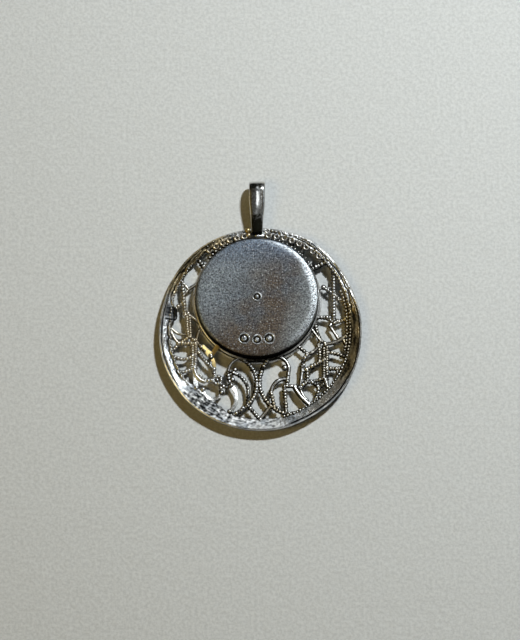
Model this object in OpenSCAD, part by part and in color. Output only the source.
// Round filigree medal pendant, lying on its front as it is put down: the back is up (+Z),
// the loop points along +Y, and z = 0 is the surface under the front bezel.
// A pierced silver frame carries a closed round cup with a gold relief medal in its front,
// and a tapered loop swings on a bar at the top of the frame.

/* [Ring] */
// Width of the frame across its sides
ring_d = 25.4; // [25.2:0.1:25.8]
// How much taller than wide the frame is
ring_stretch = 0.5; // [0.3:0.1:0.6]
// Width of the opening inside the solid band
opening_d = 22.3; // [22.2:0.1:22.5]
// Height of the pierced sheet's front face
sheet_z = 0.75; // [0.7:0.01:0.8]
// Thickness of the pierced sheet
sheet_t = 0.5; // [0.4:0.02:0.55]

/* [Cup] */
// Sideways place of the cup and the loop, which sit a little left of the middle
set_x = -0.4; // [-0.45:0.01:-0.35]
// Height of the cup's middle above the frame's middle
cup_y = 3.84; // [3.8:0.01:3.9]
// Width of the cup's wall
cup_d = 15.1; // [14.9:0.05:15.15]
// Height of the cup's back face
cup_h = 2.9; // [2.7:0.05:3.1]
// Thickness of the cup's back plate
plate_t = 0.5; // [0.4:0.05:0.6]
// Width of the front bezel's flange
bezel_d = 16.1; // [16:0.05:16.2]
// Thickness of the front bezel
bezel_t = 0.45; // [0.4:0.01:0.46]
// Inner edge of the bezel, which laps over the medal
lip_d = 13.7; // [13.6:0.05:13.8]

/* [Medal] */
// Width of the gold medal
medal_d = 14.0; // [13.95:0.05:14.05]
// Thickness of the medal's plate
medal_t = 0.5; // [0.4:0.05:0.55]
// Height of the deepest relief above the plate
relief_h = 0.5; // [0.4:0.02:0.55]

/* [Loop] */
// Height of the bar above the frame's middle
bar_y = 12.75; // [12.72:0.01:12.8]
// Height of the bar above the surface
bar_z = 1.43; // [1.4:0.01:1.45]
// Thickness of the bar
bar_d = 0.54; // [0.5:0.02:0.56]
// Distance from the bar to the middle of the loop's wide end
loop_l = 4.9; // [4.6:0.05:5.1]
// Depth of the loop's wide end
loop_d = 2.9; // [2.8:0.02:2.92]
// Width of the loop at its wide end
loop_w = 2.0; // [1.9:0.05:2.1]
// Width of the loop at the bar
eye_w = 1.3; // [1.2:0.05:1.35]
// Thickness of the loop's band at its wide end
loop_t = 0.42; // [0.35:0.01:0.45]
// Clearance between the bar and the loop's eye
eye_gap = 0.06; // [0.05:0.01:0.07]
// Thickness of the loop's band at the eye
eye_t = 0.25; // [0.22:0.01:0.26]

/* [Hidden] */
$fn = 96;

ring_r = ring_d / 2;
loop_r = loop_d / 2;
eye_in = bar_d / 2 + eye_gap;
eye_r = eye_in + eye_t;
top_y = bar_y + loop_l + loop_r;
// The frame's middle, moved so that the whole pendant is centred on the origin
mid_y = -(top_y - ring_r - ring_stretch / 2) / 2;

cup_r = cup_d / 2;
seat_gap = 0.04;
seat_in = cup_r + seat_gap;
seat_out = cup_r + 0.4;
seat_top = 1.4;
fit = 0.04;
// Pocket of the medal behind the bezel's lip
pocket_z = bezel_t - 0.1;
pocket_h = 1.1;

// Punches on the cup's back. Columns: x, y, width, from the cup's middle.
punches = [
    [-1.6, -5.35, 1.15],
    [0, -5.5, 1.0],
    [1.5, -5.35, 1.15],
    [0, 0, 0.9]
];
punch_w = 0.22;
punch_depth = 0.08;

// Opening inside the band: two round ends, nearer the loop than the outline is
opening_low = -0.3;
opening_high = 1.05;

rim_inner = 10.6;
rim_front = 1.05;
rim_back = 1.68;
rim_inner_front = 0.7;
rim_inner_back = 1.3;
// Width of the sheet's margin that shows inside the band
margin = 0.22;
solder_r = 0.05;
// Longest straight step along a bowed wire
chord_step = 0.4;

// Filigree wires. Columns: start x, start y, end x, end y, bow to the left of the way, width.
// A wire of no bow is straight. The frame's middle is the origin of these places.
X1 = 0;
Y1 = 1;
X2 = 2;
Y2 = 3;
BOW = 4;
W = 5;

// Lower left: the large scroll beside the centre line, its inner scroll and the leaves
lower_left = [
    [-2.5, -3.6, -0.45, -7.0, 0.6, 0.36],
    [-0.45, -7.0, -1.6, -9.6, 0.32, 0.36],
    [-1.6, -9.6, -3.8, -11.0, 0.15, 0.36],
    [-3.1, -5.6, -1.5, -8.0, 0.45, 0.3],
    [-1.5, -8.0, -1.5, -9.5, 0, 0.3],
    [-3.6, -7.1, -3.8, -10.4, 0.75, 0.32],
    [-7.9, -7.5, -2.9, -10.95, -0.42, 0.6],
    [-7.1, -7.6, -4.8, -8.0, -1.0, 0.42],
    [-7.6, -4.6, -7.5, -8.1, 0, 0.36],
    [-2.5, -3.6, -3.95, -5.2, -0.35, 0.26],
    [-3.95, -5.2, -3.6, -7.1, -0.15, 0.3],
    [-3.95, -5.2, -3.1, -5.6, 0, 0.3],
    [-5.85, -6.4, -4.85, -6.4, 0.49, 0.3],
    [-4.85, -6.4, -5.85, -6.4, 0.49, 0.3],
    [-5.0, -6.8, -3.6, -7.1, -0.35, 0.3],
    [-5.0, -6.8, -4.8, -8.0, 0, 0.26],
    [-7.5, -5.8, -5.85, -6.4, -0.35, 0.26],
    [-7.7, -2.8, -6.1, -4.7, -0.12, 0.26],
    [-7.9, -1.6, -6.1, -3.3, 0, 0.34],
    [-6.1, -3.3, -5.2, -2.2, 0, 0.34],
    [-6.1, -3.3, -6.1, -4.7, 0.15, 0.3],
    [-6.1, -4.7, -5.7, -6.0, 0.12, 0.28]
];

// Middle left: the beaded stack, the leaves beside it and the lattice up to the cross
upper_left = [
    [-8.1, -1.3, -8.1, -4.8, 0, 0.95],
    [-11.2, -2.8, -8.3, -3.2, -0.75, 0.3],
    [-10.2, -1.7, -8.1, -1.75, 0, 0.42],
    [-10.5, -5.3, -8.1, -4.6, -0.35, 0.28],
    [-11.3, 0.9, -10.2, -1.7, -0.24, 0.26],
    [-11.2, 0.5, -9.0, -0.5, -0.45, 0.26],
    [-10.2, -1.7, -8.8, -0.7, -0.15, 0.3],
    [-10.2, -1.7, -11.1, -2.8, 0.1, 0.28],
    [-9.75, 6.2, -9.35, 1.9, 0, 0.34],
    [-9.0, 2.1, -8.85, -0.7, 0, 0.85],
    [-11.5, 1.9, -9.5, 3.7, 0, 0.3],
    [-9.75, 6.2, -8.95, 5.2, 0, 0.28],
    [-8.95, 5.2, -7.9, 5.95, 0, 0.28],
    [-8.95, 5.2, -9.5, 4.5, 0, 0.26],
    [-8.8, 1.9, -7.6, 0.9, 0, 0.3],
    [-7.35, 0.3, -7.95, -1.3, -0.1, 0.3],
    [-8.85, -0.7, -8.3, -1.4, 0, 0.34],
    [-10.0, 6.6, -9.75, 6.2, 0, 0.34],
    [-7.9, 9.3, -7.0, 8.0, 0, 0.4],
    [-6.4, 10.6, -5.5, 9.8, 0, 0.4],
    [-4.7, 11.5, -4.2, 10.6, 0, 0.4],
    [-3.3, 12.1, -3.0, 11.2, 0, 0.4],
    [-2.0, 12.4, -1.8, 11.5, 0, 0.4]
];

// Lower right: the large scroll, its leaf, the round loop and the struts to the stack
lower_right = [
    [0.95, -3.85, -0.1, -7.0, -0.3, 0.36],
    [-0.1, -7.0, 1.3, -9.7, -0.28, 0.36],
    [1.3, -9.7, 4.9, -10.4, -0.6, 0.34],
    [-0.45, -7.0, -0.1, -7.0, 0, 0.4],
    [-1.6, -9.6, 0.1, -11.6, 0, 0.34],
    [1.3, -9.7, -0.2, -11.6, 0, 0.34],
    [3.4, -6.3, 1.35, -8.0, -0.62, 0.36],
    [1.35, -8.0, 1.75, -10.0, 0, 0.34],
    [3.4, -6.3, 3.3, -7.2, 0, 0.34],
    [3.0, -7.2, 4.2, -7.2, 0, 0.34],
    [4.2, -7.2, 6.2, -9.6, -0.2, 0.42],
    [3.0, -7.2, 3.2, -10.4, 0, 0.34],
    [5.0, -7.5, 7.2, -7.4, 0.75, 0.34],
    [7.2, -7.4, 6.2, -9.6, 0.3, 0.36],
    [5.0, -7.5, 5.85, -9.0, -0.15, 0.3],
    [4.2, -7.2, 5.0, -7.5, 0, 0.34],
    [2.3, -3.4, 3.5, -5.5, 0.5, 0.34],
    [3.5, -5.5, 3.4, -6.3, 0, 0.3],
    [5.2, -5.3, 4.95, -7.4, 0, 0.34],
    [5.2, -5.3, 8.0, -3.8, 0, 0.4],
    [5.2, -5.3, 5.9, -3.1, 0.25, 0.3],
    [5.9, -3.1, 7.2, -2.0, -0.2, 0.3],
    [7.2, -2.0, 7.3, -4.1, 0.15, 0.28],
    [5.9, -3.1, 4.7, -2.1, 0, 0.3],
    [5.05, -6.5, 7.9, -6.1, -0.25, 0.3],
    [5.85, -5.0, 5.85, -6.6, 0, 0.3],
    [7.2, -7.4, 8.3, -6.6, 0, 0.3]
];

// Middle right: the beaded stack, the leaves beside it and the lattice up to the knob
upper_right = [
    [8.1, -1.9, 8.1, -6.3, 0, 0.95],
    [8.0, -6.2, 8.5, -7.8, 0, 0.42],
    [8.2, -4.9, 10.3, -5.0, 0, 0.4],
    [9.5, -5.0, 8.8, -7.4, 0.35, 0.26],
    [11.3, 0.1, 8.2, -1.8, 0.45, 0.36],
    [8.7, 0.5, 9.9, -1.4, 0, 0.28],
    [9.2, 0.9, 11.3, 2.0, -0.2, 0.34],
    [8.3, 1.6, 9.6, 1.1, 0, 0.7],
    [7.1, 1.6, 8.5, 1.6, 0, 0.34],
    [9.15, 7.4, 9.15, 1.3, 0, 0.36],
    [8.9, 1.1, 8.7, 0.4, 0, 0.3],
    [10.3, -1.2, 11.0, -2.7, 0, 0.32],
    [8.3, -2.9, 10.9, -3.6, 0.15, 0.34],
    [6.85, 1.0, 7.5, -1.4, -0.1, 0.34],
    [6.4, 0.1, 7.5, -1.4, 0, 0.26],
    [7.5, -1.4, 7.2, -2.0, 0, 0.3],
    [7.5, -1.4, 8.2, -1.8, 0, 0.34],
    [7.3, 5.2, 8.3, 5.2, 0.2, 0.3],
    [8.3, 5.2, 9.1, 5.7, 0, 0.3],
    [8.3, 5.2, 9.5, 4.3, 0, 0.3],
    [9.5, 4.3, 11.2, 2.1, 0.15, 0.45],
    [10.2, 3.7, 10.8, 4.6, 0, 0.3],
    [6.4, 7.8, 8.2, 8.75, 0, 0.45],
    [4.85, 9.6, 5.7, 10.9, 0, 0.4],
    [3.6, 10.5, 4.2, 11.6, 0, 0.4],
    [2.3, 11.1, 2.8, 12.1, 0, 0.4],
    [1.15, 11.5, 1.3, 12.4, 0, 0.4]
];

// Round grains of the filigree. Columns: x, y, width.
grains = [
    [-3.15, -5.1, 0.62],
    [-3.45, -6.35, 0.62],
    [3.05, -4.85, 0.8],
    [7.9, 5.45, 0.7],
    [-5.35, -6.4, 0.5],
    [5.4, -4.5, 0.5],
    [-2.15, -9.95, 0.5],
    [2.2, -10.0, 0.5]
];

wires = concat(lower_left, upper_left, lower_right, upper_right);

// Relief figure. Columns of its outlines: half width, height on the medal.
mantle = [[0, 4.55], [0.75, 4.35], [1.1, 3.7], [1.15, 3.0], [1.7, 2.3], [2.15, 1.2],
          [2.0, -0.6], [2.3, -2.6], [2.6, -4.6], [1.4, -5.0], [0, -5.1]];
robe = [[0, 2.6], [0.75, 2.3], [0.95, 0.8], [0.8, -0.8], [1.25, -3.0], [1.5, -4.75], [0, -4.95]];
hands = [[0, 1.0], [0.3, 0.2], [0.42, -0.5], [0, -0.8]];
ray_count = 28;
head_y = 3.35;
head_ball = 1.6;

function hypot(x, y) = sqrt(x * x + y * y);
function bow_radius(chord, bow) = (chord * chord / 4 + bow * bow) / (2 * abs(bow));
function on_circle(r, a) = [r * cos(a), r * sin(a)];

// A bowed strip of even width along an arc, from -half to half degrees about +X
module strip(r, w, half) {
    n = max(3, ceil(half * r / 57.3 * 2 / chord_step));
    angles = [for (i = [0:n]) half * (2 * i / n - 1)];
    polygon(concat([for (a = angles) on_circle(r + w / 2, a)],
                   [for (i = [n:-1:0]) on_circle(r - w / 2, angles[i])]));
}

// One wire of the filigree, drawn flat
module wire(row) {
    dx = row[X2] - row[X1];
    dy = row[Y2] - row[Y1];
    chord = hypot(dx, dy);
    translate([row[X1], row[Y1]])
        rotate(atan2(dy, dx))
            if (row[BOW] == 0) {
                translate([0, -row[W] / 2])
                    square([chord, row[W]]);
            } else {
                r = bow_radius(chord, row[BOW]);
                side = sign(row[BOW]);
                half = abs(row[BOW]) > chord / 2 ? 180 - asin(chord / 2 / r) : asin(chord / 2 / r);
                translate([chord / 2, row[BOW] - side * r])
                    rotate(side * 90)
                        strip(r, row[W], half);
            }
}

// Where wires meet they are soldered, in a round knot
module knots() {
    for (row = wires)
        for (end = [[row[X1], row[Y1]], [row[X2], row[Y2]]])
            translate(end)
                circle(d = 1.1 * min(row[W], 0.45) + 0.1, $fn = 8);
    for (g = grains)
        translate([g[0], g[1]])
            circle(d = g[2], $fn = 10);
}

module stadium_plan(r, low, high) {
    translate([0, low])
        circle(r = r, $fn = 90);
    translate([0, high])
        circle(r = r, $fn = 90);
    translate([-r, low])
        square([2 * r, high - low]);
}

// The pierced sheet seen from the back: wires, knots and a narrow margin under the band.
// Closing by solder_r fills the slits between wires that lie close, as solder does.
module filigree_plan() {
    offset(delta = -solder_r)
        offset(delta = solder_r)
            difference() {
                intersection() {
                    union() {
                        for (row = wires)
                            wire(row);
                        knots();
                        difference() {
                            stadium_plan(opening_d / 2 + 0.2, opening_low, opening_high);
                            stadium_plan(opening_d / 2 - margin, opening_low, opening_high);
                        }
                    }
                    stadium_plan(opening_d / 2 + 0.2, opening_low, opening_high);
                }
                translate([set_x, cup_y])
                    circle(r = seat_in + 0.15, $fn = 90);
                translate([set_x - 1.0, bar_y - eye_r - 0.1])
                    square([2.0, 3]);
            }
}

module stadium(r, low, high, h) {
    translate([0, low, 0])
        cylinder(r = r, h = h);
    translate([0, high, 0])
        cylinder(r = r, h = h);
    translate([-r, low, 0])
        cube([2 * r, high - low, h]);
}

// Section of the solid band: a thin outer lip and a hollowed face falling to the inside
module rim_section() {
    polygon([[rim_inner, rim_inner_front], [ring_r - 0.15, rim_front], [ring_r, rim_front + 0.12],
             [ring_r, rim_back - 0.06], [ring_r - 0.06, rim_back], [ring_r - 0.18, rim_back],
             [ring_r - 0.55, rim_back - 0.24], [ring_r - 1.1, rim_inner_back + 0.04],
             [rim_inner, rim_inner_back]]);
}

module rim() {
    half = ring_stretch / 2;
    difference() {
        union() {
            translate([0, half, 0])
                rotate_extrude(angle = 180)
                    rim_section();
            translate([0, -half, 0])
                rotate([0, 0, 180])
                    rotate_extrude(angle = 180)
                        rim_section();
            for (side = [0, 1])
                mirror([side, 0, 0])
                    translate([0, half, 0])
                        rotate([90, 0, 0])
                            linear_extrude(ring_stretch)
                                rim_section();
        }
        translate([0, 0, -1])
            stadium(opening_d / 2, opening_low, opening_high, 5);
        translate([set_x - 1.0, 11.5, -1])
            cube([2.0, 3, 5]);
    }
}

// The round bar that the loop swings on, held between two soldered grains
module bar() {
    translate([set_x - 1.2, bar_y, bar_z])
        rotate([0, 90, 0])
            cylinder(d = bar_d, h = 2.4);
    for (side = [-1, 1])
        translate([set_x + side * 1.14, bar_y - 0.06, bar_z])
            sphere(d = 0.78);
}

// The seat ring that the cup passes through
module seat() {
    translate([set_x, cup_y, 0])
        rotate_extrude()
            translate([seat_in, bezel_t + 0.03])
                square([seat_out - seat_in, seat_top - bezel_t - 0.03]);
}

module filigree() {
    translate([0, 0, sheet_z])
        linear_extrude(sheet_t)
            filigree_plan();
}

module frame() {
    color("silver")
        translate([0, mid_y, 0]) {
            rim();
            seat();
            filigree();
            bar();
        }
}

// Generic round punches on the cup's back
module punch_marks() {
    for (row = punches)
        translate([row[0], row[1], cup_h - punch_depth])
            difference() {
                cylinder(d = row[2], h = 1);
                cylinder(d = row[2] - 2 * punch_w, h = 1);
            }
}

// Closed round cup: back plate, wall and a front bezel that laps over the medal
module medal_cup() {
    edge = 0.3;
    color("lightgray")
        translate([set_x, mid_y + cup_y, 0])
            difference() {
                rotate_extrude() {
                    square([bezel_d / 2, bezel_t]);
                    square([cup_r, cup_h - edge]);
                    square([cup_r - edge, cup_h]);
                    translate([cup_r - edge, cup_h - edge])
                        circle(r = edge);
                }
                translate([0, 0, -1])
                    cylinder(d = lip_d, h = 2);
                translate([0, 0, pocket_z])
                    cylinder(d = medal_d + 2 * fit, h = pocket_h);
                translate([0, 0, 1])
                    cylinder(d = medal_d - 1.2, h = cup_h - plate_t - 1);
                punch_marks();
            }
}

// A mirrored outline from its right half
module outline(half) {
    polygon(concat(half, [for (i = [len(half) - 2:-1:1]) [-half[i][0], half[i][1]]]));
}

// Gold medal: plate, raised border, rays and a veiled praying figure in stepped relief
module medal() {
    back = pocket_z + pocket_h - fit;
    face = back - medal_t;
    border_h = face - pocket_z - fit;
    color("goldenrod")
        translate([set_x, mid_y + cup_y, face])
            mirror([0, 0, 1]) {
                translate([0, 0, -medal_t])
                    cylinder(d = medal_d, h = medal_t);
                difference() {
                    cylinder(d = medal_d, h = border_h);
                    translate([0, 0, -1])
                        cylinder(d = medal_d - 1.3, h = 3);
                }
                translate([0, 0, -0.1])
                    linear_extrude(0.1 + 0.3 * relief_h)
                        rays();
                translate([0, 0, -0.1])
                    linear_extrude(0.1 + 0.5 * relief_h)
                        outline(mantle);
                translate([0, 0, -0.1])
                    linear_extrude(0.1 + 0.75 * relief_h)
                        outline(robe);
                translate([0, head_y, 0])
                    intersection() {
                        translate([0, 0, 0.45 * relief_h - head_ball / 2 + 0.22])
                            sphere(d = head_ball);
                        translate([-1, -1, -0.1])
                            cube([2, 2, 1]);
                    }
                translate([0, 1.05, -0.1])
                    linear_extrude(0.1 + relief_h)
                        outline(hands);
            }
}

module rays() {
    for (i = [0:ray_count - 1])
        rotate(360 * (i + 0.5) / ray_count)
            polygon([[2.4, -0.2], [5.7 - 0.6 * (i % 2), 0], [2.4, 0.2]]);
}

// A drop lying along +Y: two round ends across X, joined by their common tangents.
// The slab between them is drawn a hair inside the tangent points, for clean crossings.
module drop(small_r, large_r, length, w) {
    a = acos((small_r - large_r) / length);
    in = 0.998;
    rotate([90, 0, 90])
        translate([0, 0, -w / 2]) {
            cylinder(r = small_r, h = w);
            translate([length, 0, 0])
                cylinder(r = large_r, h = w);
            linear_extrude(w)
                polygon([[small_r * cos(a), in * small_r * sin(a)],
                         [length + large_r * cos(a), in * large_r * sin(a)],
                         [length + large_r * cos(a), -in * large_r * sin(a)],
                         [small_r * cos(a), -in * small_r * sin(a)]]);
        }
}

// Tapered loop: a closed band round the bar, wide and deep at its free end.
// It lies back on the surface, so its free end is lifted by rest_tilt.
module bail() {
    rest_tilt = asin((loop_r + 0.02 - bar_z) / loop_l);
    reach = loop_l + loop_r + 0.5;
    start = -eye_r - 0.5;
    grow = (loop_w - eye_w) / (loop_l + loop_r + eye_r);
    start_w = eye_w - 0.5 * grow;
    end_w = loop_w + 0.5 * grow;
    color("silver")
        translate([set_x, mid_y + bar_y, bar_z])
            rotate([rest_tilt, 0, 0])
                intersection() {
                    difference() {
                        drop(eye_r, loop_r, loop_l, 3);
                        drop(eye_in, loop_r - loop_t, loop_l, 4);
                    }
                    translate([0, 0, -2])
                        linear_extrude(4)
                            polygon([[-start_w / 2, start], [start_w / 2, start],
                                     [end_w / 2, reach], [-end_w / 2, reach]]);
                }
}

frame();
medal_cup();
medal();
bail();
